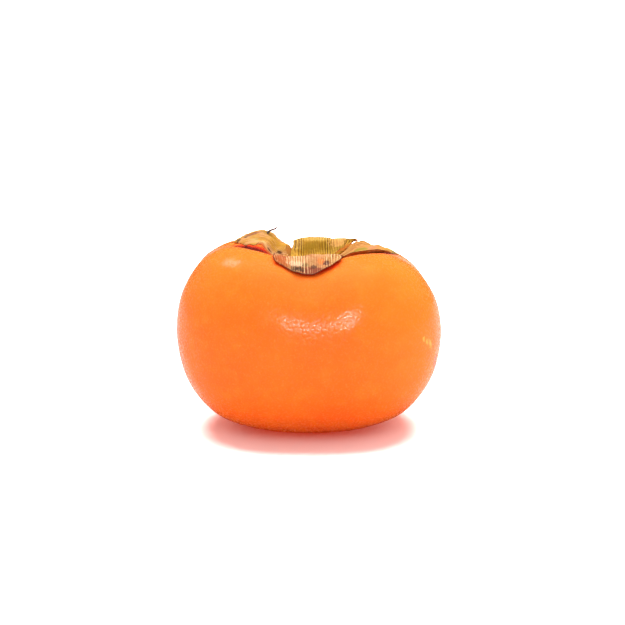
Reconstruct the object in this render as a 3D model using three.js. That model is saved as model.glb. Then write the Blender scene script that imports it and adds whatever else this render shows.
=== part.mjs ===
// A persimmon of the squat, four-shouldered kind, as picked, with its dried calyx still on.
// Millimetres. +Z is up along the stalk, -Y is the front, and z = 0 is the surface that it rests on.

import * as THREE from 'three';
import { mergeVertices } from 'three/addons/utils/BufferGeometryUtils.js';

// ---- Driving dimensions ----

const FRUIT_RADIUS = 38.45;     // at the widest part, a little below half height
const FRUIT_HEIGHT = 52.4;      // resting surface to the crest of the shoulders
const SQUARENESS = 0.055;       // how much wider the fruit is across its corners
const LEAN = 1.15;              // the left shoulders stand this much higher, the right ones lower
const NOD = -1.1;               // the back shoulders stand this much lower, the front ones higher
const PAD_RADIUS = 9.2;         // from the axis to the middle of each resting pad
const PAD_DIP = 0.45;           // how far the skin lifts off the surface between two pads
const DISC_RADIUS = 7.6;
const DISC_THICKNESS = 1.6;
const STUB_RADIUS = 2.1;
const STUB_HEIGHT = 1.5;
const STYLE_RADIUS = 0.9;
const STYLE_LENGTH = 1.2;
const LOBE_THICKNESS = 0.6;
const GAP = 0.35;               // between two pieces that touch
const LOBE_GAP = 0.45;          // under a lobe, where the skin curves most

// ---- The fruit's skin ----

// Half of the fruit's section, from the stalk end over a shoulder and down to the blossom end:
// distance from the axis as a share of the radius, and height as a share of the fruit's height.
const SECTION = [
  [0.000, 0.868], [0.212, 0.891], [0.410, 0.962], [0.590, 1.000], [0.738, 0.960],
  [0.868, 0.872], [0.975, 0.709], [1.000, 0.500], [0.925, 0.270], [0.738, 0.100],
  [0.487, 0.018], [0.265, -0.003], [0.132, 0.012], [0.000, 0.045],
];
const section = new THREE.SplineCurve(
  SECTION.map(([across, up]) => new THREE.Vector2(across * FRUIT_RADIUS, up * FRUIT_HEIGHT)),
);
section.arcLengthDivisions = 600;
const SECTION_LENGTH = section.getLength();
const CREST_ARC = 24.3;         // along the section from the stalk end to the shoulders' crest
const FADE_INWARD = 16;         // how far a furrow runs from the crest into the hollow
const FADE_DOWN = 25;           // and how far down the side
const LEVEL_RADIUS = 1.5;       // the skin is taken as level this near the axis

const FRONT = -Math.PI / 2;
const RIGHT = 0;
const BACK = THREE.MathUtils.degToRad(80);    // the back furrow and its lobe have grown a little askew
const LEFT = Math.PI;

// One furrow lies under each lobe of the calyx, the front one the deepest, and three lesser ones lower the
// shoulders at the back left, the front left and the front right. The width is from a furrow's middle to
// where it has nearly run out.
const FURROWS = [
  { towards: FRONT, depth: 4.3, width: 11 },
  { towards: RIGHT, depth: 1.5, width: 11 },
  { towards: BACK, depth: 3.0, width: 11 },
  { towards: LEFT, depth: 1.4, width: 11 },
  { towards: THREE.MathUtils.degToRad(108), depth: 2.0, width: 5.5 },
  { towards: THREE.MathUtils.degToRad(-136), depth: 0.8, width: 13 },
  { towards: THREE.MathUtils.degToRad(-28), depth: 0.5, width: 12 },
];

const bell = (x) => Math.exp(-x * x);

function furrowDepth(azimuth, arc, radius) {
  const along = arc < CREST_ARC ? (arc - CREST_ARC) / FADE_INWARD : (arc - CREST_ARC) / FADE_DOWN;
  const opening = THREE.MathUtils.smoothstep(radius, 0, 12);
  let depth = 0;
  for (const furrow of FURROWS) {
    const turn = azimuth - furrow.towards;
    const facing = Math.max(Math.cos(turn), 0);
    depth += furrow.depth * facing * bell((radius * Math.sin(turn)) / furrow.width);
  }
  return depth * opening * bell(along);
}

// The point of the skin at an azimuth and at a length of arc from the stalk end, raised off it by lift.
function skinPoint(azimuth, arc, lift = 0) {
  const share = THREE.MathUtils.clamp(arc / SECTION_LENGTH, 0, 1);
  const point = section.getPointAt(share);
  const tangent = section.getTangentAt(share);
  const corner = Math.sin(2 * azimuth) ** 2 * THREE.MathUtils.clamp(point.x / 30, 0, 1);
  const push = lift - furrowDepth(azimuth, arc, point.x);
  const slope = tangent.y * THREE.MathUtils.clamp(point.x / LEVEL_RADIUS, 0, 1);
  const radius = point.x * (1 + SQUARENESS * corner) - slope * push;
  let height = point.y + tangent.x * push;

  const upperPart = THREE.MathUtils.clamp(height / FRUIT_HEIGHT, 0, 1) ** 2.2;
  const x = radius * Math.cos(azimuth);
  const y = radius * Math.sin(azimuth);
  height += (upperPart * (NOD * y - LEAN * x)) / (0.6 * FRUIT_RADIUS);

  const onBase = arc > SECTION_LENGTH - 2.5 * PAD_RADIUS;
  if (onBase) {
    const between = Math.cos(2 * azimuth) ** 2;
    height += PAD_DIP * between * bell((point.x - PAD_RADIUS) / 6);
  }
  return new THREE.Vector3(x, y, Math.max(height, 0));
}

// ---- Making closed meshes ----

// Moves every vertex of a closed geometry to shape(x, y, z), and welds the vertices that meet.
function reshape(geometry, shape) {
  geometry.deleteAttribute('normal');
  geometry.deleteAttribute('uv');
  const position = geometry.getAttribute('position');
  for (let i = 0; i < position.count; i += 1) {
    const moved = shape(position.getX(i), position.getY(i), position.getZ(i));
    position.setXYZ(i, moved.x, moved.y, moved.z);
  }
  const welded = mergeVertices(geometry, 1e-3);
  welded.computeVertexNormals();
  return welded;
}

function piece(name, geometry, color, roughness) {
  const material = new THREE.MeshStandardMaterial({ color, roughness, metalness: 0 });
  const mesh = new THREE.Mesh(geometry, material);
  mesh.name = name;
  return mesh;
}

// ---- The fruit ----

// A ball whose latitude becomes the length along the section.
function fruit() {
  const ball = new THREE.SphereGeometry(1, 80, 52);
  ball.rotateX(Math.PI / 2);
  const skin = reshape(ball, (x, y, z) => {
    const fromTop = Math.acos(THREE.MathUtils.clamp(z, -1, 1)) / Math.PI;
    return skinPoint(Math.atan2(y, x), fromTop * SECTION_LENGTH);
  });
  return piece('fruit', skin, 0xf9761d, 0.4);
}

// ---- The calyx ----

// The woody centre: a plate that follows the hollow, notched between the lobes.
function calyxDisc() {
  const outline = [
    new THREE.Vector2(0, 0),
    new THREE.Vector2(0.5, 0),
    new THREE.Vector2(1, 0),
    new THREE.Vector2(1, 0.7),
    new THREE.Vector2(0.75, 1),
    new THREE.Vector2(0.4, 0.8),
    new THREE.Vector2(0, 0.8),
  ];
  const plate = new THREE.LatheGeometry(outline, 40);
  plate.rotateX(Math.PI / 2);
  const disc = reshape(plate, (x, y, z) => {
    const azimuth = Math.atan2(y, x);
    const notch = 1 - 0.08 * Math.sin(2 * azimuth) ** 2;
    const arc = Math.hypot(x, y) * DISC_RADIUS * notch;
    return skinPoint(azimuth, arc, GAP + z * DISC_THICKNESS);
  });
  return piece('calyx_disc', disc, 0x8a6a3c, 0.85);
}

// A lobe is a thin closed sheet over the skin: u runs from its root at the disc to its tip, v across it.
// Its stations stand at equal steps of u. Each gives, in millimetres over the skin, half the lobe's width and how
// far its middle sways to the left, and then how high it stands off the skin at its right edge, along its middle
// and at its left edge, left and right being those of someone who looks from the stalk towards the tip. Blunt is
// how much shorter the lobe is at its sides.
const LOBE_ROOT = DISC_RADIUS + GAP;
const ROOT_FLARE = 0.3;         // the root follows the disc's round edge over this share of the lobe
const ROOT_BEND = 0.04;         // and bends up from the disc over this one
const LOBES = [
  {
    name: 'calyx_lobe_front', towards: FRONT, tip: 32.6, blunt: 4.5, color: 0xd99a5b,
    widths: [[7, 0], [9, 0.2], [9.4, 0.4], [9.7, -0.2], [9.6, -0.6], [8.2, -1]],
    rises: [[0, 0, 0], [0, 0.6, 0], [-1, 1.3, 0.1], [-1.5, 1.9, 0.2], [-0.4, 0.9, 0.3], [0.3, 0.3, 0.3]],
  },
  {
    name: 'calyx_lobe_right', towards: RIGHT, tip: 27.4, blunt: 0, color: 0xcf9a44,
    widths: [[6.4, 0], [8.8, 0], [9.8, -0.4], [8.6, -0.8], [5.6, -1], [0.8, -1]],
    rises: [[0, 0, 0.2], [1, 1.2, 1.8], [0.4, 1.3, 2.9], [0, 0.6, 1.4], [0, 0.3, 0.6], [0.1, 0.1, 0.1]],
  },
  {
    name: 'calyx_lobe_back', towards: BACK, tip: 29.5, blunt: 1.6, color: 0xb9963c,
    widths: [[6.9, 0.5], [9.1, 0.5], [9.6, -1.4], [9.7, -0.8], [9.1, 0.1], [6.5, 1.5]],
    rises: [[0, 0, 0], [0.2, 0.3, 0], [0.8, 0.9, 0.8], [0.9, 2.6, 1.7], [0.5, 2.8, 1.7], [0, 0.8, 0.8]],
  },
  {
    name: 'calyx_lobe_left', towards: LEFT, tip: 23.4, blunt: 0, color: 0xc98f3e,
    widths: [[7.5, 0], [9.5, 0], [10, 0], [8.6, 0], [5.8, 0.2], [0.8, 0]],
    rises: [[4.4, 5.2, 1], [5.6, 3.9, 0], [5.6, 4.9, 1.2], [4.4, 3.8, 1.2], [2.1, 1.8, 0.5], [0.2, 0.2, 0.2]],
  },
];

function stationCurve(stations) {
  const points = stations.map(([a, b, c = 0]) => new THREE.Vector3(a, b, c));
  return new THREE.CatmullRomCurve3(points, false, 'catmullrom');
}

function calyxLobe({ name, towards, tip, blunt, color, widths, rises }) {
  const widthCurve = stationCurve(widths);
  const riseCurve = stationCurve(rises);
  const sheet = new THREE.BoxGeometry(1, 1, 1, 20, 14, 1);
  const lobe = reshape(sheet, (x, y, z) => {
    const u = x + 0.5;
    const v = 2 * y;
    const through = z + 0.5;
    const { x: halfWidth, y: sway } = widthCurve.getPoint(u);
    const { x: rightRise, y: middleRise, z: leftRise } = riseCurve.getPoint(u);

    const along = LOBE_ROOT + u * (tip - LOBE_ROOT) - blunt * v * v * u ** 3;
    const across = sway + v * halfWidth;
    const arc = Math.hypot(along, across * Math.min(u / ROOT_FLARE, 1));
    const tilt = (v * (leftRise - rightRise)) / 2;
    const bow = (v * v * (leftRise + rightRise - 2 * middleRise)) / 2;
    const bend = THREE.MathUtils.smoothstep(u, -0.01, ROOT_BEND);
    const lift = LOBE_GAP + bend * Math.max(middleRise + tilt + bow, 0) + through * LOBE_THICKNESS;
    return skinPoint(towards + Math.atan2(across, along), arc, lift);
  });
  return piece(name, lobe, color, 0.8);
}

// ---- The stalk and the blossom end ----

function stemStub() {
  const outline = [
    new THREE.Vector2(0, 0),
    new THREE.Vector2(1.05 * STUB_RADIUS, 0),
    new THREE.Vector2(STUB_RADIUS, 0.85 * STUB_HEIGHT),
    new THREE.Vector2(0.8 * STUB_RADIUS, STUB_HEIGHT),
    new THREE.Vector2(0, STUB_HEIGHT),
  ];
  const stub = new THREE.LatheGeometry(outline, 18);
  stub.rotateX(Math.PI / 2);
  const discTop = skinPoint(0, 0, GAP + 0.8 * DISC_THICKNESS).z;
  const foot = discTop + GAP;
  const standing = reshape(stub, (x, y, z) => new THREE.Vector3(x, y, z + foot));
  return piece('stem_stub', standing, 0x6e5433, 0.9);
}

function styleRemnant() {
  const outline = [
    new THREE.Vector2(0, -STYLE_LENGTH),
    new THREE.Vector2(0.35 * STYLE_RADIUS, -0.85 * STYLE_LENGTH),
    new THREE.Vector2(STYLE_RADIUS, 0),
    new THREE.Vector2(0, 0),
  ];
  const point = new THREE.LatheGeometry(outline, 14);
  point.rotateX(Math.PI / 2);
  const roof = skinPoint(0, SECTION_LENGTH).z - GAP;
  const hanging = reshape(point, (x, y, z) => new THREE.Vector3(x, y, z + roof));
  return piece('style_remnant', hanging, 0x3a2a1c, 0.9);
}

const persimmon = new THREE.Group();
persimmon.add(fruit(), calyxDisc());
for (const lobe of LOBES) persimmon.add(calyxLobe(lobe));
persimmon.add(stemStub(), styleRemnant());

export default persimmon;
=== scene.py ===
import math

import bpy
import numpy as np
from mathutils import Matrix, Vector


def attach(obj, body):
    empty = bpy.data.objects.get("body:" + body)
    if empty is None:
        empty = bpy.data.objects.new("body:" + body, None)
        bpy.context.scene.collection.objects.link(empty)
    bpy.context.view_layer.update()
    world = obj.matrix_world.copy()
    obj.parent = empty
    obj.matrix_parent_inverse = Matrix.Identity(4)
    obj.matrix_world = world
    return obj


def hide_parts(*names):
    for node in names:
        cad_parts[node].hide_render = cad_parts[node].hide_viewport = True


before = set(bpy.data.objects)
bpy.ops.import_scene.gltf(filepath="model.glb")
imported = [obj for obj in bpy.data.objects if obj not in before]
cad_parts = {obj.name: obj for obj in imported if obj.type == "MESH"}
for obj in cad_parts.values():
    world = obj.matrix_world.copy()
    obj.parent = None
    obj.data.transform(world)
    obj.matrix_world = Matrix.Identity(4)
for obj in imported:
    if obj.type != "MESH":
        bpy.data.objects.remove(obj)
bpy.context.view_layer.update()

# ---- The fruit ----
# One fleshy berry, squat, with four soft shoulders and a shallow furrow under each lobe of the calyx.
# Its skin is thin, tight and waxy, orange, yellower on the shoulders and redder low down. It rests on
# the low pads round its blossom end.

MM = 0.001                       # sizes are in millimetres, meshes in metres
FRUIT_RADIUS = 38.45
FRUIT_HEIGHT = 52.4
SQUARENESS = 0.055               # how much wider the fruit is across its corners
SQUARE_FROM = 30                 # and how far from the axis it is as square as that
LEAN = 1.15                      # the left shoulders stand this much higher, the right ones lower
NOD = -1.1                       # the back shoulders stand this much lower, the front ones higher
LEAN_RISE = 2.2                  # both grow with this power of the height
CREST_SHARE = 0.6                # the shoulders' crest lies at this share of the radius
PAD_RADIUS = 9.2                 # from the axis to the middle of each resting pad
PAD_WIDTH = 6
PAD_DIP = 0.45                   # how far the skin lifts off the surface between two pads
LEVEL_RADIUS = 1.5               # the skin is taken as level this near the axis

# Half of the fruit's section, from the stalk end over a shoulder and down to the blossom end:
# distance from the axis as a share of the radius, and height as a share of the height.
SECTION = [
    (0.000, 0.868), (0.212, 0.891), (0.410, 0.962), (0.590, 1.000), (0.738, 0.960),
    (0.868, 0.872), (0.975, 0.709), (1.000, 0.500), (0.925, 0.270), (0.738, 0.100),
    (0.487, 0.018), (0.265, -0.003), (0.132, 0.012), (0.000, 0.045),
]

FRONT = -math.pi / 2
RIGHT = 0.0
BACK = math.radians(80)          # the back furrow and its lobe have grown a little askew
LEFT = math.pi
# The direction, depth and width of each furrow: one under each lobe, the front one the deepest, and three
# lesser ones that lower the shoulders at the back left, the front left and the front right.
FURROWS = [
    (FRONT, 4.3, 11), (RIGHT, 1.5, 11), (BACK, 3.0, 11), (LEFT, 1.4, 11),
    (math.radians(108), 2.0, 5.5), (math.radians(-136), 0.8, 13), (math.radians(-28), 0.5, 12),
]
FURROWS_FROM = 12                # they start at the axis and are whole this far out
CREST_ARC = 24.3                 # along the section from the stalk end to the shoulders' crest
FADE_INWARD = 16.0               # how far a furrow runs from the crest into the hollow
FADE_DOWN = 25.0                 # and how far down the side


def spline(points, steps=200):
    """A smooth curve through the points, as rows of coordinates."""
    points = np.array(points, float)
    padded = np.vstack([points[:1], points, points[-1:]])
    share = np.linspace(0, 1, steps, endpoint=False)[:, None]
    stretches = []
    for before, start, end, after in zip(padded, padded[1:], padded[2:], padded[3:]):
        leave = (end - before) / 2
        arrive = (after - start) / 2
        cubic = 2 * (start - end) + leave + arrive
        square = 3 * (end - start) - 2 * leave - arrive
        stretches.append(((cubic * share + square) * share + leave) * share + start)
    return np.vstack([*stretches, points[-1:]])


section = spline(SECTION) * (FRUIT_RADIUS, FRUIT_HEIGHT)
section_arc = np.concatenate([[0], np.cumsum(np.hypot(*np.diff(section, axis=0).T))])
section_length = section_arc[-1]
section_slope = np.gradient(section, axis=0)
section_slope /= np.hypot(*section_slope.T)[:, None]


def bell(x):
    return np.exp(-x * x)


def smooth(x, low, high):
    share = np.clip((x - low) / (high - low), 0, 1)
    return share * share * (3 - 2 * share)


def furrow_depth(azimuth, arc, radius):
    along = np.where(arc < CREST_ARC, (arc - CREST_ARC) / FADE_INWARD, (arc - CREST_ARC) / FADE_DOWN)
    depth = 0
    for towards, deepest, width in FURROWS:
        turn = azimuth - towards
        facing = np.maximum(np.cos(turn), 0)
        depth = depth + deepest * facing * bell(radius * np.sin(turn) / width)
    return depth * smooth(radius, 0, FURROWS_FROM) * bell(along)


def skin_point(azimuth, arc, lift=0.0):
    """Points of the skin at an azimuth and a length of arc from the stalk end, raised off it by lift."""
    azimuth, arc, lift = np.broadcast_arrays(azimuth, arc, lift)
    across, up = (np.interp(arc, section_arc, section[:, i]) for i in (0, 1))
    run, climb = (np.interp(arc, section_arc, section_slope[:, i]) for i in (0, 1))
    corner = np.sin(2 * azimuth) ** 2 * np.clip(across / SQUARE_FROM, 0, 1)
    push = lift - furrow_depth(azimuth, arc, across)
    radius = across * (1 + SQUARENESS * corner) - climb * np.clip(across / LEVEL_RADIUS, 0, 1) * push
    height = up + run * push
    x = radius * np.cos(azimuth)
    y = radius * np.sin(azimuth)
    upper_part = np.clip(height / FRUIT_HEIGHT, 0, 1) ** LEAN_RISE
    height = height + upper_part * (NOD * y - LEAN * x) / (CREST_SHARE * FRUIT_RADIUS)
    on_base = arc > section_length - 2.5 * PAD_RADIUS
    between_pads = np.cos(2 * azimuth) ** 2
    height = height + on_base * PAD_DIP * between_pads * bell((across - PAD_RADIUS) / PAD_WIDTH)
    return np.stack([x, y, np.maximum(height, 0)], axis=-1)


LATTICE = 64                     # the noise comes back after this many lumps


def lumps(points, size, seed):
    """Smooth noise from -1 to 1 at the points, with lumps of about that size."""
    lattice = np.random.default_rng(seed).uniform(-1, 1, (LATTICE,) * 3)
    place = points / size
    cell = np.floor(place).astype(int)
    share = place - cell
    share = share * share * (3 - 2 * share)
    total = 0
    for corner in np.ndindex(2, 2, 2):
        weight = np.prod(np.where(corner, share, 1 - share), axis=-1)
        total = total + weight * lattice[tuple(np.moveaxis((cell + corner) % LATTICE, -1, 0))]
    return total


def mesh_object(name, points, faces, smooth_faces=True):
    """A named object with a mesh of these points, in millimetres, and faces."""
    mesh = bpy.data.meshes.new(name)
    mesh.from_pydata((np.asarray(points) * MM).tolist(), [], faces)
    mesh.validate()
    if smooth_faces:
        mesh.shade_smooth()
    piece = bpy.data.objects.new(name, mesh)
    bpy.context.scene.collection.objects.link(piece)
    return piece


def lay_map(piece, name, corner_places):
    """Gives the mesh a UV map, from each face corner's place."""
    layer = piece.data.uv_layers.new(name=name)
    layer.uv.foreach_set("vector", np.asarray(corner_places, np.float32).ravel())


ROUND = 480                      # columns of faces round the fruit
DOWN = 200                       # rows of faces from the stalk end to the blossom end
SKIN_LUMPS = [(0.16, 13), (0.07, 6), (0.02, 2.4)]    # the height and the size of its soft unevenness
SMOOTH_BASE = (0.4, 4)           # which fades out between these two heights over the surface

skin_azimuth = BACK + np.linspace(0, 2 * math.pi, ROUND, endpoint=False)[None, :]
skin_arc = np.linspace(0, section_length, DOWN + 1)[1:-1, None]


def fruit_mesh():
    where = skin_point(skin_azimuth, skin_arc)
    relief = sum(height * lumps(where, size, seed) for seed, (height, size) in enumerate(SKIN_LUMPS, 1))
    off_base = smooth(where[..., 2], *SMOOTH_BASE)
    points = skin_point(skin_azimuth, skin_arc, relief * off_base).reshape(-1, 3)
    ends = skin_point(0.0, np.array([0, section_length]))
    points = np.vstack([points, ends])
    top, bottom = len(points) - 2, len(points) - 1
    rows = DOWN - 1
    faces = []
    places = []
    for column in range(ROUND):
        following = (column + 1) % ROUND
        left, right = column / ROUND, (column + 1) / ROUND
        faces.append((top, column, following))
        places += [((left + right) / 2, 1), (left, 1 - 1 / DOWN), (right, 1 - 1 / DOWN)]
        for row in range(rows - 1):
            above, below = row * ROUND, (row + 1) * ROUND
            faces.append((above + column, below + column, below + following, above + following))
            high, low = 1 - (row + 1) / DOWN, 1 - (row + 2) / DOWN
            places += [(left, high), (left, low), (right, low), (right, high)]
        last = (rows - 1) * ROUND
        faces.append((last + column, bottom, last + following))
        places += [(left, 1 / DOWN), ((left + right) / 2, 0), (right, 1 / DOWN)]
    fruit = mesh_object("fruit_skin", points, faces)
    lay_map(fruit, "OFBake", places)
    return fruit


def paint(red, green, blue):
    """A colour given as it looks on a screen, 0 to 255, as the shader's linear one."""
    parts = (np.array([red, green, blue]) / 255.0).tolist()
    linear = [p / 12.92 if p <= 0.04045 else ((p + 0.055) / 1.055) ** 2.4 for p in parts]
    return (*linear, 1.0)


def new_material(name):
    material = bpy.data.materials.new(name)
    material.use_nodes = True
    return material, material.node_tree, material.node_tree.nodes["Principled BSDF"]


def add(tree, kind, inputs, **settings):
    """Adds a node, with its settings and with its inputs set or linked, and returns it."""
    node = tree.nodes.new("ShaderNode" + kind)
    for setting, value in settings.items():
        setattr(node, setting, value)
    for socket, value in inputs.items():
        if isinstance(value, bpy.types.NodeSocket):
            tree.links.new(value, node.inputs[socket])
        else:
            node.inputs[socket].default_value = value
    return node


def sums(tree, operation, first, second=0.0, third=0.0):
    return add(tree, "Math", {0: first, 1: second, 2: third}, operation=operation).outputs[0]


def spread(tree, value, low, high, start=0.0, end=1.0):
    """start where the value is at low or under, end where it is at high or over, smooth between."""
    inputs = {"Value": value, "From Min": low, "From Max": high, "To Min": start, "To Max": end}
    return add(tree, "MapRange", inputs, interpolation_type="SMOOTHSTEP").outputs[0]


def mixed(tree, share, first, second, blend="MIX"):
    node = add(tree, "Mix", {0: share, 6: first, 7: second}, data_type="RGBA", blend_type=blend)
    return node.outputs[2]


def grain(tree, where, size, detail=2.0, roughness=0.5, distortion=0.0):
    """Noise from 0 to 1 with lumps of about that size in millimetres."""
    inputs = {"Vector": where, "Scale": 1 / (size * MM), "Detail": detail, "Roughness": roughness,
              "Distortion": distortion}
    return add(tree, "TexNoise", inputs).outputs[0]


# Where each old mark on the skin is, how far it reaches, its colour and how strong it is: a pale crooked
# scar, and a brown scuff beyond it.
SKIN_MARKS = [
    ((31.5, -25.3, 29.0), 1.2, paint(244, 166, 80), 0.9),
    ((32.4, -24.0, 27.9), 1.2, paint(244, 166, 80), 0.9),
    ((33.5, -22.2, 27.4), 1.3, paint(244, 166, 80), 0.9),
    ((33.8, -21.6, 26.4), 1.2, paint(244, 166, 80), 0.9),
    ((35.5, -15.7, 21.4), 2.6, paint(110, 48, 26), 0.85),
    ((35.6, -13.4, 18.8), 2.2, paint(124, 60, 34), 0.8),
]
SHOULDERS = (24, 50)             # the skin turns yellower between these heights
SUNNY_SIDE = (8, 36)             # and between these distances to the right
GLOSS = 0.08                     # the wax mirrors only weakly
GLINT_SIZE = 0.6                 # smooth spots of wax, which glint, among dull ones
PORE_SIZE = 0.85
PORE_DEPTH = 0.055


def skin_material():
    material, tree, shader = new_material("persimmon_skin")
    where = add(tree, "TexCoord", {}).outputs["Object"]
    split = add(tree, "SeparateXYZ", {0: where})

    orange = paint(232, 102, 30)
    red_orange = paint(230, 91, 28)
    yellow_orange = paint(235, 124, 37)
    pale_blotch = paint(240, 140, 44)
    pale_speck = paint(246, 170, 84)
    shaded_orange = paint(220, 78, 26)
    shaded_red = paint(226, 52, 20)
    high = spread(tree, split.outputs["Z"], *(MM * end for end in SHOULDERS))
    sunny_side = spread(tree, split.outputs["X"], *(MM * end for end in SUNNY_SIDE))
    broad = grain(tree, where, 22, detail=3)
    colour = mixed(tree, spread(tree, broad, 0.35, 0.7, 0, 0.6), orange, red_orange)
    colour = mixed(tree, sums(tree, "MULTIPLY", high, 0.35), colour, yellow_orange)
    colour = mixed(tree, sums(tree, "MULTIPLY", sunny_side, 0.4), colour, yellow_orange)
    blotches = grain(tree, where, 5, detail=4, roughness=0.6)
    colour = mixed(tree, spread(tree, blotches, 0.45, 0.75, 0, 0.12), colour, pale_blotch)
    specks = grain(tree, where, 0.55, detail=2)
    colour = mixed(tree, spread(tree, specks, 0.58, 0.75, 0, 0.10), colour, pale_speck)
    # Painted shade: under each lobe, and just round its outline, the skin is painted deeper orange and red
    # where the lobe shades it
    shaded = add(tree, "Attribute", {}, attribute_name="shaded").outputs["Fac"]
    colour = mixed(tree, spread(tree, shaded, 0.0, 0.5, 0, 0.5), colour, shaded_orange)
    colour = mixed(tree, spread(tree, shaded, 0.4, 1.0, 0, 0.9), colour, shaded_red)
    torn = grain(tree, where, 0.9, detail=4, roughness=0.7)
    for place, reach, tint, strength in SKIN_MARKS:
        middle = (Vector(place) * MM).to_tuple()
        away = add(tree, "VectorMath", {0: where, 1: middle}, operation="DISTANCE").outputs["Value"]
        ragged = sums(tree, "MULTIPLY_ADD", torn, -3 * reach * MM, away)
        share = spread(tree, ragged, -0.8 * reach * MM, -1.2 * reach * MM, 0, strength)
        colour = mixed(tree, share, colour, tint)
    tree.links.new(colour, shader.inputs["Base Color"])

    shader.inputs["Subsurface Weight"].default_value = 0.25
    shader.inputs["Subsurface Radius"].default_value = (1.0, 0.32, 0.08)
    shader.inputs["Subsurface Scale"].default_value = 2.5 * MM
    shader.inputs["Specular IOR Level"].default_value = GLOSS
    glints = grain(tree, where, GLINT_SIZE, detail=1)
    tree.links.new(spread(tree, glints, 0.38, 0.6, 0.3, 0.09), shader.inputs["Roughness"])

    pores = add(tree, "TexVoronoi", {"Vector": where, "Scale": 1 / (PORE_SIZE * MM), "Smoothness": 0.15},
                feature="SMOOTH_F1").outputs["Distance"]
    swell = grain(tree, where, 3, detail=2)
    domes = sums(tree, "MULTIPLY", pores, pores)
    relief = sums(tree, "SUBTRACT", sums(tree, "MULTIPLY", swell, 1.5), domes)
    bump = add(tree, "Bump", {"Height": relief, "Distance": PORE_DEPTH * MM, "Strength": 1.0})
    tree.links.new(bump.outputs[0], shader.inputs["Normal"])
    return material


fruit = fruit_mesh()
fruit.data.materials.append(skin_material())
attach(fruit, "root")
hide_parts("fruit")

# ---- The calyx disc ----
# The woody middle of the calyx, where the four lobes and the stalk meet: a thin, hard, brown plate that
# has grown onto the fruit in its hollow.

DISC_RADIUS = 7.6
DISC_THICKNESS = 1.6
DISC_MIDDLE = 0.8                # its middle is this share of its thickness
DISC_NOTCH = 0.08                # how far it draws in between two lobes, as a share of its radius
DISC_GRAIN = 0.16                # the height of its rough grain
DISC_RIBS = 38
DISC_RIB_HEIGHT = 0.1
PIECE_GAP = 0.2                  # between two pieces that touch
DISC_ROUND = 220


def closed_stack(name, rings, cap_low, cap_high):
    """A closed mesh from rings of points, each given as an array, with an end point at each end."""
    rings = [np.asarray(ring) for ring in rings]
    count = len(rings[0])
    points = np.vstack([*rings, [cap_low], [cap_high]])
    low, high = len(points) - 2, len(points) - 1
    faces = []
    last = (len(rings) - 1) * count
    for i in range(count):
        j = (i + 1) % count
        faces.append((low, j, i))
        faces.append((high, last + i, last + j))
        for ring in range(len(rings) - 1):
            a, b = ring * count, (ring + 1) * count
            faces.append((a + i, a + j, b + j, b + i))
    return mesh_object(name, points, faces)


def disc_mesh():
    azimuth = np.linspace(0, 2 * math.pi, DISC_ROUND, endpoint=False)
    outline = spline([(0.02, 0), (0.6, 0), (0.97, 0.04), (1.0, 0.45), (0.93, 0.85), (0.7, 1.0),
                      (0.45, 0.86), (0.34, DISC_MIDDLE), (0.02, DISC_MIDDLE)], 10)[::2]
    rings = []
    for share, level in outline:
        notch = 1 - DISC_NOTCH * np.sin(2 * azimuth) ** 2
        arc = share * DISC_RADIUS * notch
        flat = np.stack([share * np.cos(azimuth), share * np.sin(azimuth), 0 * azimuth], axis=-1)
        ribs = np.sin(DISC_RIBS * azimuth + 5 * lumps(flat * 5, 2, 12))
        rough = DISC_GRAIN * lumps(flat * 9, 1.1, 11) + DISC_RIB_HEIGHT * ribs
        lift = PIECE_GAP + level * (DISC_THICKNESS + rough * (level > 0.3))
        rings.append(skin_point(azimuth, arc, lift))
    under = skin_point(0.0, 0.0, PIECE_GAP)
    above = skin_point(0.0, 0.0, PIECE_GAP + DISC_MIDDLE * DISC_THICKNESS)
    return closed_stack("calyx_disc_wood", rings, under, above)


def wood_material():
    material, tree, shader = new_material("calyx_wood")
    where = add(tree, "TexCoord", {}).outputs["Object"]
    coarse = grain(tree, where, 1.4, detail=5, roughness=0.65)
    fine = grain(tree, where, 0.3, detail=3)
    colour = mixed(tree, spread(tree, coarse, 0.3, 0.7), paint(92, 62, 32), paint(158, 118, 62))
    colour = mixed(tree, spread(tree, fine, 0.5, 0.75, 0, 0.6), colour, paint(60, 38, 22))
    tree.links.new(colour, shader.inputs["Base Color"])
    shader.inputs["Roughness"].default_value = 0.85
    relief = sums(tree, "ADD", coarse, sums(tree, "MULTIPLY", fine, 0.5))
    bump = add(tree, "Bump", {"Height": relief, "Distance": 0.15 * MM, "Strength": 0.8})
    tree.links.new(bump.outputs[0], shader.inputs["Normal"])
    return material


disc = disc_mesh()
wood = wood_material()
disc.data.materials.append(wood)
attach(disc, "root")
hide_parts("calyx_disc")

# ---- The calyx lobes ----
# Four dried sepals, papery and ribbed, which spring from the disc. Each has curled in its own way as it
# dried: the front one is folded over the rim, and the left one stands up like a tent.

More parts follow.
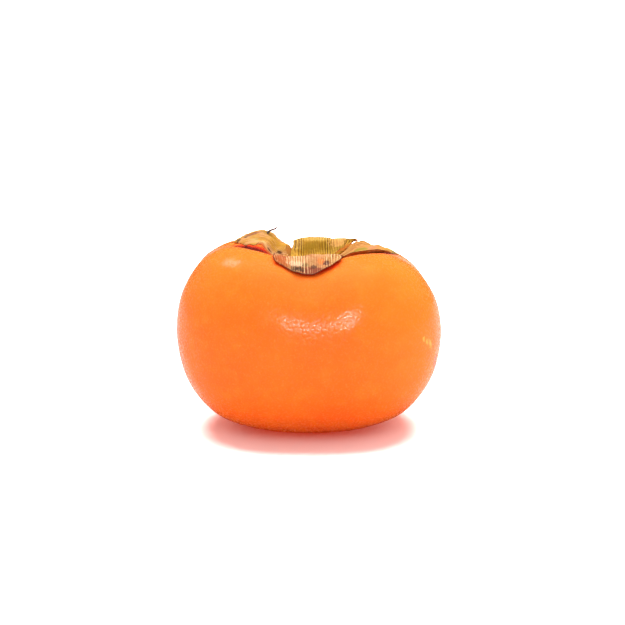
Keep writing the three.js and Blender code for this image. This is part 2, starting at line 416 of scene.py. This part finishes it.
# Each lobe's stations stand at equal steps from its root to its tip. They give, in millimetres over the
# skin, half its width and how far its middle sways to the left, and then how high it stands off the skin
# at its right edge, along its middle and at its left edge, seen from the stalk. The blunt is how much
# shorter the lobe is at its sides, the hem how far its right edge turns down again, and the slant how far
# its ribs stray to the left for each millimetre along it. A margin that has rolled or folded up is given
# by its side (1 is left), its width, its turn in degrees, the bend's radius, and the shares of the way to
# the tip where it starts and ends.
LOBES = {
    "front": {
        "towards": FRONT, "tip": 33.3, "blunt": 4.5, "hem": 0, "slant": 0,
        "widths": [(7, 0), (9, 0.2), (9.4, 0.4), (9.7, -0.2), (9.6, -0.6), (8.2, -1.0)],
        "rises": [(0, 0, 0), (0, 0.6, 0), (-1, 1.3, 0.1),
                  (-1.5, 1.9, 0.2), (-0.4, 0.9, 0.3), (0.3, 0.3, 0.3)],
        "rolls": [],
    },
    "right": {
        "towards": RIGHT, "tip": 27.6, "blunt": 1.6, "hem": 0, "slant": 0,
        "widths": [(6.4, 0), (8.8, 0), (9.8, 0), (8.8, -1), (5.8, -1.6), (0.8, -1)],
        "rises": [(0, 0, 0.2), (1.5, 1.2, 1.8), (1.3, 1.3, 2.9),
                  (0.7, 0.6, 1.4), (0, 0.3, 0.6), (0.1, 0.1, 0.1)],
        "rolls": [],
    },
    "back": {
        "towards": BACK, "tip": 29.5, "blunt": 1.6, "hem": 0, "slant": 0.176,
        "widths": [(6.9, 0.5), (9.7, -0.1), (10.2, -2), (10.3, -1.3), (9.1, 0.2), (6.5, 1.5)],
        "rises": [(0, 0, 0), (0.2, 0.3, 0), (0.8, 0.9, 0.8),
                  (0.9, 2.6, 1.7), (0.5, 2.8, 1.7), (0, 0.8, 0.8)],
        "rolls": [(-1, 2.4, 170, 0.3, 0.1, 0.65)],
    },
    "left": {
        "towards": LEFT, "tip": 23.6, "blunt": 1.6, "hem": 3.6, "slant": 0,
        "widths": [(7.8, 0.3), (10.3, 0.8), (10.8, 0.8), (9, 0.4), (5.8, 0.2), (0.8, 0)],
        "rises": [(4.4, 5.2, 1), (5.7, 4, -0.8), (6, 5, 1.2),
                  (5.6, 4.2, 1.2), (3.3, 2, 0.5), (0.3, 0.2, 0.2)],
        "rolls": [(1, 2, 220, 0.5, 0, 0.55)],
    },
}
LOBE_GAP = 0.25                  # under a lobe, and between its root and the disc
LOBE_ROOT = DISC_RADIUS + LOBE_GAP
ROOT_FLARE = 0.3                 # the root follows the disc's round edge over this share of the lobe
ROOT_BEND = 0.04                 # and bends up from the disc over this one
LOBE_THICKNESS = 0.4
RIB_SPACING = 0.72
RIB_HEIGHT = 0.065
FINE_RIBS = 0.37                 # the spacing of the finer ribs among them, as a share of theirs
FINE_RIB_HEIGHT = 0.35           # and their height
EDGE_WIDTH = 0.7                 # the rim of a lobe, where it has dried darkest
ROLL_EASE = 0.15                 # a margin starts and ends its roll over this share of the lobe
TEARS = [(0.45, 2.2), (0.2, 0.7)]        # the depth and the size of the nicks along a lobe's edge
CRINKLES = [(0.45, 4.2), (0.2, 1.5)]     # the height and the size of the waves over it
UPTURN = 0.18                    # how much its edges have curled up
SHADE_REACH = 1.4                # the skin's painted shade runs this far to each side of a lobe's outline
ALONG_STEPS = 180
ACROSS_STEPS = 180


def stations_at(stations, u):
    """The stations' numbers at shares u of the way from root to tip."""
    curve = spline(stations, 60)
    share = np.linspace(0, 1, len(curve))
    return [np.interp(u, share, curve[:, i]) for i in range(curve.shape[1])]


def note(piece, name, values):
    """Writes one number on each of the mesh's points, for its material to read."""
    attribute = piece.data.attributes.new(name, "FLOAT", "POINT")
    attribute.data.foreach_set("value", np.asarray(values, np.float32))


def roll_margins(across, half_width, u, rolls):
    """Where the lobe lies across once its margins have rolled up, and how high that brings them."""
    curl = 0
    for side, width, turn, bend, start, end in rolls:
        rolled = width * smooth(u, start - ROLL_EASE, start) * smooth(u, end, end - ROLL_EASE)
        past_hinge = np.maximum(side * across - half_width + rolled, 0)
        turned = np.minimum(past_hinge / bend, math.radians(turn))
        straight = past_hinge - bend * turned
        across = across - side * (past_hinge - bend * np.sin(turned) - straight * np.cos(turned))
        curl = curl + bend * (1 - np.cos(turned)) + straight * np.sin(turned)
    return across, curl


def sheet_faces(rows, columns):
    """The faces of a thin closed sheet: its upper side, its under side and the wall round its rim."""
    index = np.arange(rows * columns).reshape(rows, columns)
    squares = np.stack([index[:-1, :-1], index[1:, :-1], index[1:, 1:], index[:-1, 1:]], axis=-1)
    squares = squares.reshape(-1, 4)
    rim = np.concatenate([index[:-1, 0], index[-1, :-1], index[:0:-1, -1], index[0, :0:-1]])
    following = np.roll(rim, -1)
    under = rows * columns
    walls = np.stack([rim, rim + under, following + under, following], axis=-1)
    return np.vstack([squares, squares[:, ::-1] + under, walls]).tolist()


def lobe_mesh(name, towards, tip, blunt, hem, slant, widths, rises, rolls, seed):
    u = np.linspace(0, 1, ALONG_STEPS + 1)[:, None]
    v = np.linspace(-1, 1, ACROSS_STEPS + 1)[None, :]
    half_width, sway = stations_at(widths, u)
    right_rise, middle_rise, left_rise = stations_at(rises, u)
    on_leaf = np.stack([u * (tip - LOBE_ROOT) + 0 * v, half_width * v + sway, 0 * u * v], axis=-1)

    ragged = sum(depth * lumps(on_leaf + 40, size, seed + i) for i, (depth, size) in enumerate(TEARS))
    across = v * (half_width + ragged * v ** 4)
    along = LOBE_ROOT + on_leaf[..., 0] + 0.8 * ragged * u ** 6 - blunt * v * v * u ** 3
    across, curl = roll_margins(across, half_width, u, rolls)
    share = across / half_width
    across = across + sway
    arc = np.hypot(along, across * np.minimum(u / ROOT_FLARE, 1))
    azimuth = towards + np.arctan2(across, along)

    tilt = share * (left_rise - right_rise) / 2
    bow = share * share * (left_rise + right_rise - 2 * middle_rise) / 2
    turned_down = hem * smooth(-v, 0.62, 1.0) * smooth(u, 0.05, 0.3)
    rise = np.maximum(middle_rise + tilt + bow - turned_down, 0) * smooth(u, -0.01, ROOT_BEND)
    crinkle = sum(high * lumps(on_leaf + 20, size, seed + i) for i, (high, size) in enumerate(CRINKLES, 3))
    upturned = smooth(np.abs(v), 0.75, 1.0) * UPTURN * (1 + lumps(on_leaf + 60, 2.0, seed + 5))
    free = smooth(u, 0.0, 0.15)
    thinner_edge = 1 - 0.6 * smooth(np.abs(v), 0.8, 1.0)
    thinner_tip = 1 - 0.5 * smooth(u, 0.85, 1.0)
    thickness = LOBE_THICKNESS * thinner_edge * thinner_tip
    lift = LOBE_GAP + thickness / 2 + rise + curl + free * np.maximum(crinkle + 0.1 + upturned, 0)
    middle = skin_point(azimuth, arc, lift)
    normal = np.cross(np.gradient(middle, axis=0), np.gradient(middle, axis=1))
    normal /= np.linalg.norm(normal, axis=-1, keepdims=True)

    over_ribs = on_leaf[..., 1] - slant * on_leaf[..., 0]
    streaks = np.stack([on_leaf[..., 0] / 6, over_ribs, 0 * across + 7], axis=-1)
    wander = 0.9 * lumps(streaks, 2.1, seed + 2)
    strength = np.clip(0.8 + 0.9 * lumps(streaks + 30, 1.7, seed + 6), 0.35, 1.3)
    coarse = np.sin(2 * math.pi * (over_ribs / RIB_SPACING + wander))
    fine = np.sin(2 * math.pi * (over_ribs / (FINE_RIBS * RIB_SPACING) + 2 * wander))
    wave = strength * coarse + FINE_RIB_HEIGHT * fine
    rib = (RIB_HEIGHT * wave)[..., None] * normal
    half = (thickness / 2)[..., None] * normal
    upper = middle + half + rib
    lower = middle - half + 0.6 * rib
    points = np.vstack([upper.reshape(-1, 3), lower.reshape(-1, 3)])
    lobe = mesh_object(name, points, sheet_faces(ALONG_STEPS + 1, ACROSS_STEPS + 1))

    places = np.stack([over_ribs, along], axis=-1).reshape(-1, 2)
    corners = np.empty(len(lobe.data.loops), np.int32)
    lobe.data.loops.foreach_get("vertex_index", corners)
    lay_map(lobe, "over_leaf", places[corners % len(places)])
    note(lobe, "rib", np.tile(wave.ravel(), 2))
    from_edge = np.minimum(half_width * (1 - np.abs(v)), (1 - u) * (tip - LOBE_ROOT))
    edge = (1 - np.clip(from_edge / EDGE_WIDTH, 0, 1)) * smooth(u, 0.05, 0.25)
    note(lobe, "edge", np.tile(edge.ravel(), 2))
    return lobe


def covered(azimuth, arc, towards, tip, blunt, widths, **others):
    """How far each place on the skin lies under a lobe, for its painted shade: 0 clear of it, 1 well under
    it.
    """
    turn = azimuth - towards
    along, across = arc * np.cos(turn), arc * np.sin(turn)
    u = np.clip((along - LOBE_ROOT) / (tip - LOBE_ROOT), 0, 1)
    half_width, sway = stations_at(widths, u)
    v = (across - sway) / half_width
    inside = np.minimum(half_width * (1 - np.abs(v)), tip - blunt * np.clip(v * v, 0, 1) - along)
    return smooth(np.where(along > 0, inside, -SHADE_REACH), -SHADE_REACH, SHADE_REACH)


PATCH_TEAR = 3.6                 # how ragged the outline of a stain, or of a patch of painted light, is
PATCH_EDGE = (3.1, 2.4)          # it fades in between these two


def stained_or_lit(tree, colour, over, streaky, across, along, half_across, half_along, tint, strength):
    """The colour with a ragged stain, or a patch of painted light, on it; its middle and half sizes are in
    millimetres over the leaf.
    """
    offset = add(tree, "VectorMath", {0: over, 1: (across, along, 0)}, operation="SUBTRACT").outputs[0]
    scale = (1 / half_across, 1 / half_along, 0)
    scaled = add(tree, "VectorMath", {0: offset, 1: scale}, operation="MULTIPLY").outputs[0]
    reach = add(tree, "VectorMath", {0: scaled}, operation="LENGTH").outputs["Value"]
    ragged = sums(tree, "MULTIPLY_ADD", streaky, PATCH_TEAR, reach)
    return mixed(tree, spread(tree, ragged, *PATCH_EDGE, 0, strength), colour, tint)


def flecks(tree, over, fineness, detail=3.0, roughness=0.5, distortion=0.0):
    """Noise from 0 to 1 over the leaf, with that many lumps to the millimetre."""
    inputs = {"Vector": over, "Scale": fineness, "Detail": detail, "Roughness": roughness,
              "Distortion": distortion}
    return add(tree, "TexNoise", inputs).outputs[0]


def leaf_material(name, tan, ochre, green, green_share, crest, crest_share, groove, groove_share, stains_and_light):
    """Dry leaf, tan and ochre, green where it is freshest, with pale ribs and dark grooves, in part
    painted highlight and shade, and dark edges.
    """
    material, tree, shader = new_material(name)
    over = add(tree, "UVMap", {}, uv_map="over_leaf").outputs[0]
    rib = add(tree, "Attribute", {}, attribute_name="rib").outputs["Fac"]
    edge = add(tree, "Attribute", {}, attribute_name="edge").outputs["Fac"]
    streaks = add(tree, "VectorMath", {0: over, 1: (1.0, 0.14, 1.0)}, operation="MULTIPLY").outputs[0]
    fibres = flecks(tree, streaks, 2.4, detail=5.0)
    patches = flecks(tree, over, 0.24)
    clouds = flecks(tree, over, 0.16, distortion=0.5)
    broken = flecks(tree, over, 1.3, detail=4.0, roughness=0.65)
    freckles = flecks(tree, over, 2.6)
    streaky = sums(tree, "MULTIPLY", sums(tree, "ADD", broken, fibres), 0.5)

    colour = mixed(tree, spread(tree, patches, 0.4, 0.6), ochre, tan)
    colour = mixed(tree, spread(tree, clouds, 0.48, 0.62, 0, green_share), colour, green)
    for stain_or_light in stains_and_light:
        colour = stained_or_lit(tree, colour, over, streaky, *stain_or_light)
    # Rib crests paler and grooves darker: in part wear and dirt, in part painted highlight and painted
    # shade
    wear_and_highlight = spread(tree, fibres, 0.4, 0.62, crest_share, 0)
    colour = mixed(tree, sums(tree, "MULTIPLY", spread(tree, rib, 0.0, 1.1), wear_and_highlight), colour, crest)
    dirt_and_shade = spread(tree, broken, 0.3, 0.6, 0.35 * groove_share, groove_share)
    colour = mixed(tree, sums(tree, "MULTIPLY", spread(tree, rib, 0.0, -0.9), dirt_and_shade), colour, groove)
    colour = mixed(tree, spread(tree, freckles, 0.66, 0.74, 0, 0.7), colour, groove, blend="MULTIPLY")
    torn = sums(tree, "MULTIPLY_ADD", broken, 0.7, edge)
    colour = mixed(tree, spread(tree, torn, 1.0, 1.2, 0, 0.8), colour, TORN_EDGE)
    tree.links.new(colour, shader.inputs["Base Color"])
    shader.inputs["Roughness"].default_value = 0.7
    shader.inputs["Specular IOR Level"].default_value = 0.1
    relief = sums(tree, "MULTIPLY_ADD", freckles, 0.6, fibres)
    bump = add(tree, "Bump", {"Height": relief, "Distance": 0.12 * MM, "Strength": 0.8})
    tree.links.new(bump.outputs[0], shader.inputs["Normal"])
    return material


TORN_EDGE = paint(88, 42, 24)
# Each lobe's colours, and the patches laid on it, stains and on the left lobe one of painted light: where
# a patch's middle is, across the lobe to the left and from the stalk's axis, half its width and length,
# its colour, and how strong it is.
LEAF_COATS = {
    "front": {
        "tan": paint(178, 124, 78), "ochre": paint(162, 102, 58), "green": paint(142, 116, 66),
        "green_share": 0.25, "crest": paint(228, 186, 136), "crest_share": 0.85,
        "groove": paint(112, 60, 34), "groove_share": 0.8,
        "stains_and_light": [
            (-7.8, 26.2, 3.0, 5.0, paint(152, 66, 16), 0.9),
            (-3.3, 26.6, 3.4, 3.2, paint(198, 148, 100), 0.7),
            (7.0, 26.0, 2.8, 3.0, paint(186, 136, 76), 0.6),
            (-3.6, 29.0, 2.2, 1.4, paint(214, 184, 150), 0.6),
            (0.6, 31.8, 3.8, 1.9, paint(112, 38, 27), 0.9),
            (3.5, 27.5, 1.1, 1.3, paint(216, 114, 50), 0.9),
            # a near-black patch near the tip
            (-3.2, 31.2, 2.1, 1.3, paint(40, 28, 22), 0.95),
            (1.6, 30.0, 1.0, 0.9, paint(70, 34, 26), 0.85),
            (5.4, 28.3, 1.0, 1.1, paint(60, 22, 36), 0.95),
            (-1.0, 29.1, 0.9, 1.0, paint(96, 84, 46), 0.8),
        ],
    },
    "right": {
        "tan": paint(182, 126, 66), "ochre": paint(178, 122, 46), "green": paint(150, 128, 52),
        "green_share": 0.4, "crest": paint(216, 168, 104), "crest_share": 0.7,
        "groove": paint(124, 72, 30), "groove_share": 0.85,
        "stains_and_light": [
            (7.2, 15.4, 3.0, 3.0, paint(192, 128, 66), 0.7),
            (3.8, 16.6, 1.2, 2.8, paint(126, 116, 30), 0.85),
            (4.2, 19.7, 1.6, 1.6, paint(194, 122, 88), 0.8),
            (-9.6, 18.9, 1.8, 2.0, paint(182, 158, 92), 0.7),
            (-6.5, 23.0, 2.2, 2.0, paint(190, 124, 32), 0.8),
            (-2.2, 26.4, 1.8, 1.8, paint(120, 110, 64), 0.9),
        ],
    },
    "back": {
        "tan": paint(176, 128, 44), "ochre": paint(148, 102, 14), "green": paint(120, 94, 8),
        "green_share": 0.6, "crest": paint(192, 150, 60), "crest_share": 0.65,
        "groove": paint(78, 52, 4), "groove_share": 0.95,
        "stains_and_light": [
            (-1.0, 18.0, 6.5, 2.8, paint(128, 94, 4), 0.7),
            (-1.5, 22.0, 6.0, 1.4, paint(190, 152, 72), 0.6),
            (-11.2, 15.6, 1.8, 4.0, paint(168, 80, 12), 0.8),
            (-7.5, 20.0, 2.6, 2.4, paint(206, 150, 84), 0.8),
            (5.1, 19.6, 1.6, 3.0, paint(162, 122, 60), 0.7),
        ],
    },
    "left": {
        "tan": paint(188, 132, 84), "ochre": paint(172, 118, 40), "green": paint(156, 128, 52),
        "green_share": 0.35, "crest": paint(222, 174, 116), "crest_share": 0.7,
        "groove": paint(120, 72, 32), "groove_share": 0.85,
        "stains_and_light": [
            (0.0, 11.4, 4.5, 3.8, paint(172, 122, 10), 0.85),
            (-3.6, 15.3, 1.8, 1.8, paint(146, 104, 16), 0.8),
            (-2.0, 18.0, 1.0, 1.8, paint(140, 82, 60), 0.8),
            (3.7, 17.6, 1.2, 1.2, paint(150, 132, 62), 0.8),
            (4.5, 14.8, 1.8, 1.6, paint(188, 134, 46), 0.7),
            (10.6, 12.9, 1.0, 3.0, paint(214, 168, 112), 0.7),
            (1.1, 21.6, 0.8, 0.6, paint(60, 44, 32), 0.9),
            (-0.3, 20.1, 0.7, 0.5, paint(70, 48, 34), 0.9),
            (4.4, 10.2, 1.7, 0.9, paint(34, 18, 12), 0.95),
            # Painted light: a pale patch on the root's wall, which faces away from the light and lies in
            # shade
            (-4.5, 8.0, 3.0, 1.0, paint(236, 172, 84), 1.0),
            (-1.4, 19.2, 0.9, 1.4, paint(130, 78, 56), 0.7),
            (11.1, 12.2, 0.5, 0.4, paint(60, 34, 18), 0.9),
        ],
    },
}
# The painted shade on the skin, gathered from all four lobes' outlines
shade = 0.0
for number, (side, lobe) in enumerate(LOBES.items()):
    shade = np.maximum(shade, covered(skin_azimuth, skin_arc, **lobe))
    leaf = lobe_mesh("calyx_lobe_" + side + "_leaf", **lobe, seed=100 + 20 * number)
    leaf.data.materials.append(leaf_material("calyx_leaf_" + side, **LEAF_COATS[side]))
    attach(leaf, "root")
    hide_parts("calyx_lobe_" + side)
note(fruit, "shaded", np.append(shade.ravel(), [0.0, 0.0]))

# ---- The loose thread ----
# A dry brown fibre of the left lobe. It has come away from the lobe's ridge, where its foot still holds,
# and stands up off it.

THREAD_RADIUS = 0.42             # at its foot
THREAD_TIP = 0.55                # as a share of that
THREAD = [(-12.2, 2.6, 55.2), (-11.3, 2.4, 56.0), (-10.2, 2.2, 56.4), (-9.2, 2.0, 57.0)]
THREAD_SIDES = 10


def thread_mesh():
    path = spline(THREAD, 8)
    turn = np.linspace(0, 2 * math.pi, THREAD_SIDES, endpoint=False)[:, None]
    up_and_left = (-0.5, 0, 0.87)    # square to the thread, which runs up and to the right
    ring = THREAD_RADIUS * (np.sin(turn) * (0, 1, 0) + np.cos(turn) * up_and_left)
    taper = np.linspace(1, THREAD_TIP, len(path))
    rings = [place + share * ring for place, share in zip(path, taper)]
    return closed_stack("calyx_lobe_left_thread", rings, path[0], path[-1])


thread = thread_mesh()
thread_material, _, thread_shader = new_material("calyx_thread")
thread_shader.inputs["Base Color"].default_value = paint(84, 70, 62)
thread_shader.inputs["Roughness"].default_value = 0.8
thread.data.materials.append(thread_material)
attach(thread, "root")

# ---- The stem stub ----
# What is left of the stalk where it was cut: a short, rough peg of the same wood as the disc, which has
# grown in the disc's middle.

STUB_RADIUS = 2.1
STUB_HEIGHT = 1.5
STUB_TOP = 0.92                  # the middle of its cut end, as a share of that
STUB_CLEARANCE = 0.15            # over the grain of the disc
STUB_ROUND = 120


def stub_mesh():
    azimuth = np.linspace(0, 2 * math.pi, STUB_ROUND, endpoint=False)
    outline = spline([(0.02, 0), (1.1, 0), (0.98, 0.3), (0.95, 0.6), (0.98, 0.92), (0.8, 1.0),
                      (0.5, 0.95), (0.02, STUB_TOP)], 8)
    over_disc = PIECE_GAP + STUB_CLEARANCE + DISC_MIDDLE * DISC_THICKNESS
    foot = skin_point(0.0, 0.0, over_disc)[2] + PIECE_GAP
    rings = []
    for share, level in outline:
        rough = 1 + 0.05 * np.sin(11 * azimuth + 1.3) + 0.03 * np.sin(23 * azimuth)
        radius = share * STUB_RADIUS * rough
        height = foot + level * STUB_HEIGHT
        rings.append(np.stack([radius * np.cos(azimuth), radius * np.sin(azimuth),
                               0 * azimuth + height], axis=-1))
    return closed_stack("stem_stub_wood", rings, (0, 0, foot), (0, 0, foot + STUB_TOP * STUB_HEIGHT))


stub = stub_mesh()
stub.data.materials.append(wood)
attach(stub, "root")
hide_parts("stem_stub")

# ---- The style remnant ----
# The dry, dark point that is left of the flower's style. It has shrivelled onto the fruit in the dimple
# at the blossom end, and hangs clear of what the fruit stands on.

STYLE_RADIUS = 0.9
STYLE_LENGTH = 1.2
STYLE_ROUND = 60


def style_mesh():
    azimuth = np.linspace(0, 2 * math.pi, STYLE_ROUND, endpoint=False)
    outline = spline([(0.02, -0.95), (0.3, -0.85), (0.6, -0.45), (0.98, -0.06), (0.9, 0), (0.02, 0)], 8)
    roof = skin_point(0.0, section_length)[2] - PIECE_GAP
    rings = []
    for share, level in outline:
        radius = share * STYLE_RADIUS * (1 + 0.08 * np.sin(7 * azimuth))
        rings.append(np.stack([radius * np.cos(azimuth), radius * np.sin(azimuth),
                               0 * azimuth + roof + level * STYLE_LENGTH], axis=-1))
    return closed_stack("style_remnant_point", rings, (0, 0, roof - 0.96 * STYLE_LENGTH), (0, 0, roof))


def style_material():
    material, tree, shader = new_material("dried_style")
    where = add(tree, "TexCoord", {}).outputs["Object"]
    coarse = grain(tree, where, 0.5, detail=4)
    colour = mixed(tree, spread(tree, coarse, 0.35, 0.7), paint(38, 26, 18), paint(84, 60, 40))
    tree.links.new(colour, shader.inputs["Base Color"])
    shader.inputs["Roughness"].default_value = 0.9
    bump = add(tree, "Bump", {"Height": coarse, "Distance": 0.08 * MM, "Strength": 0.8})
    tree.links.new(bump.outputs[0], shader.inputs["Normal"])
    return material


style = style_mesh()
style.data.materials.append(style_material())
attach(style, "root")
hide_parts("style_remnant")

# ---- The studio ----
# A white table in a white room, lit mostly from high behind. A long strip and some bulbs in front draw
# the bright curve on the skin, and a lamp at the back left the spot on its shoulder. The camera stands in
# front and looks down a little.

TABLE_SIZE = 6000                # from its middle to each side
table = mesh_object("table_top", [(-TABLE_SIZE, -TABLE_SIZE, 0), (TABLE_SIZE, -TABLE_SIZE, 0),
                                  (TABLE_SIZE, TABLE_SIZE, 0), (-TABLE_SIZE, TABLE_SIZE, 0)],
                    [(0, 1, 2, 3)], smooth_faces=False)
table_material, table_tree, table_shader = new_material("table_white")
rays = add(table_tree, "LightPath", {}).outputs
TABLE_BOUNCE = (0.30, 0.29, 0.29, 1)     # what it gives to its surroundings
TABLE_MIRRORED = (0.16, 0.16, 0.16, 1)   # as the skin's gloss shows it
TABLE_SEEN = (0.97, 0.74, 0.71, 1)       # as it is seen, pink only in the shadow
table_white = mixed(table_tree, rays["Is Glossy Ray"], TABLE_BOUNCE, TABLE_MIRRORED)
table_white = mixed(table_tree, rays["Is Camera Ray"], table_white, TABLE_SEEN)
table_tree.links.new(table_white, table_shader.inputs["Base Color"])
table_shader.inputs["Roughness"].default_value = 0.9
table_shader.inputs["Specular IOR Level"].default_value = 0.0
table.data.materials.append(table_material)

ROOM = 0.62                      # how bright the white room is all round
BACKDROP = 1.2                   # how much brighter it is behind
WINDOW = 0.5                     # and to the right
MIRRORED = 0.12                  # how bright the skin's gloss shows its walls
LEFT_WALL = 0.4                  # the left one
CEILING = 2.6                    # and how much brighter its ceiling in front


def white_room():
    """A white room, brighter behind and to the right; seen straight on it is white all round."""
    world = bpy.data.worlds.new("white_room")
    world.use_nodes = True
    tree = world.node_tree
    towards = add(tree, "TexCoord", {}).outputs["Generated"]
    ways = add(tree, "SeparateXYZ", {0: towards}).outputs
    glow = sums(tree, "ADD", spread(tree, ways["Y"], 0.1, 0.9, ROOM, ROOM + BACKDROP),
                spread(tree, ways["X"], 0.1, 0.9, 0, WINDOW))
    rays = add(tree, "LightPath", {}).outputs
    before = spread(tree, ways["Y"], 0.9, -0.1)
    left_wall = spread(tree, ways["X"], -0.9, -0.3, LEFT_WALL, MIRRORED)
    ceiling = spread(tree, ways["Z"], 0.7, 0.95, 0, CEILING)
    mirrored = sums(tree, "MULTIPLY_ADD", ceiling, before, left_wall)
    glow = add(tree, "Mix", {0: rays["Is Glossy Ray"], 2: glow, 3: mirrored}).outputs[0]
    strength = sums(tree, "MAXIMUM", glow, rays["Is Camera Ray"])
    tree.links.new(strength, tree.nodes["Background"].inputs["Strength"])
    tree.nodes["Background"].inputs["Color"].default_value = (1, 1, 1, 1)
    return world


bpy.context.scene.world = white_room()
bpy.context.scene.view_settings.view_transform = "Standard"

LOOK_AT = np.array([1.0, 0.0, 32.3])
EYE_DISTANCE = 400.0
EYE_ELEVATION = 9                # degrees


def aim(thing, place, target):
    """Puts a camera or a light at a place and turns it towards a target, both in millimetres."""
    thing.location = Vector(place) * MM
    sight = Vector(np.asarray(target) - np.asarray(place))
    thing.rotation_euler = sight.to_track_quat("-Z", "Y").to_euler()


def round_about(azimuth, elevation, distance):
    """The place at an azimuth, counted from the camera to the right, and an elevation, in degrees."""
    a, e = math.radians(azimuth), math.radians(elevation)
    level = (math.sin(a) * math.cos(e), -math.cos(a) * math.cos(e))
    return LOOK_AT + distance * np.array([*level, math.sin(e)])


def soft_light(name, azimuth, elevation, distance, width, height, power):
    light = bpy.data.lights.new(name, "AREA")
    light.shape = "RECTANGLE"
    light.size, light.size_y = width * MM, height * MM
    light.energy = power
    lamp = bpy.data.objects.new(name, light)
    bpy.context.scene.collection.objects.link(lamp)
    aim(lamp, round_about(azimuth, elevation, distance), LOOK_AT)
    return lamp


def far_light(name, azimuth, elevation, width, power):
    """A soft light far away, as wide as that angle in degrees."""
    light = bpy.data.lights.new(name, "SUN")
    light.energy = power
    light.angle = math.radians(width)
    lamp = bpy.data.objects.new(name, light)
    bpy.context.scene.collection.objects.link(lamp)
    aim(lamp, round_about(azimuth, elevation, 1000), LOOK_AT)
    return lamp


# The numbers of a far light are its azimuth, elevation, width and power, and those of a near one its
# azimuth, elevation, distance, width, height and power.
far_light("high_behind", 180, 67, 36, 4.0).visible_glossy = False
far_light("low_front", 0, 20, 40, 0.5)

# The table and the fruit are lit apart, so that the table stays white up to the shadow's edge and the
# fruit is as bright below as over a white table.
table_alone = bpy.data.collections.new("table_alone")
table_alone.objects.link(table)
all_but_table = bpy.data.collections.new("all_but_table")
all_but_table.objects.link(table)
all_but_table.collection_objects[0].light_linking.link_state = "EXCLUDE"
for lamp in (far_light("table_light", 180, 67, 56, 18), far_light("table_fill", 0, 40, 40, 0.45)):
    lamp.light_linking.receiver_collection = table_alone
overhead = far_light("overhead", 0, 80, 40, 1.5)
from_below = far_light("from_below", 0, -85, 60, 1.6)
from_below.data.color = (1, 0.45, 0.4)
for lamp in (overhead, from_below):
    lamp.light_linking.receiver_collection = all_but_table
    lamp.light_linking.blocker_collection = all_but_table
    lamp.visible_glossy = False

STRIP_ROLL = 2                   # degrees that the strip is turned, its right end up
strip = soft_light("front_strip", 7, 19.5, 1000, 420, 14, 3.4)
strip.rotation_euler.rotate_axis("Z", math.radians(STRIP_ROLL))
gleams = [
    strip,
    soft_light("bulb_left", 1, 19.5, 1000, 50, 25, 1.6),
    soft_light("bulb_right", 10.5, 20, 1000, 90, 34, 3.2),
    soft_light("wide_bulb", 19, 25, 1000, 160, 140, 1.8),
    soft_light("back_left_lamp", -133, 50, 1000, 260, 160, 2.4),
]
for gleam in gleams:
    gleam.visible_diffuse = False

camera = bpy.data.cameras.new("camera")
camera.sensor_width = 36
camera.lens = 79.1
eye = bpy.data.objects.new("camera", camera)
bpy.context.scene.collection.objects.link(eye)
aim(eye, round_about(0, EYE_ELEVATION, EYE_DISTANCE), LOOK_AT)
bpy.context.scene.camera = eye
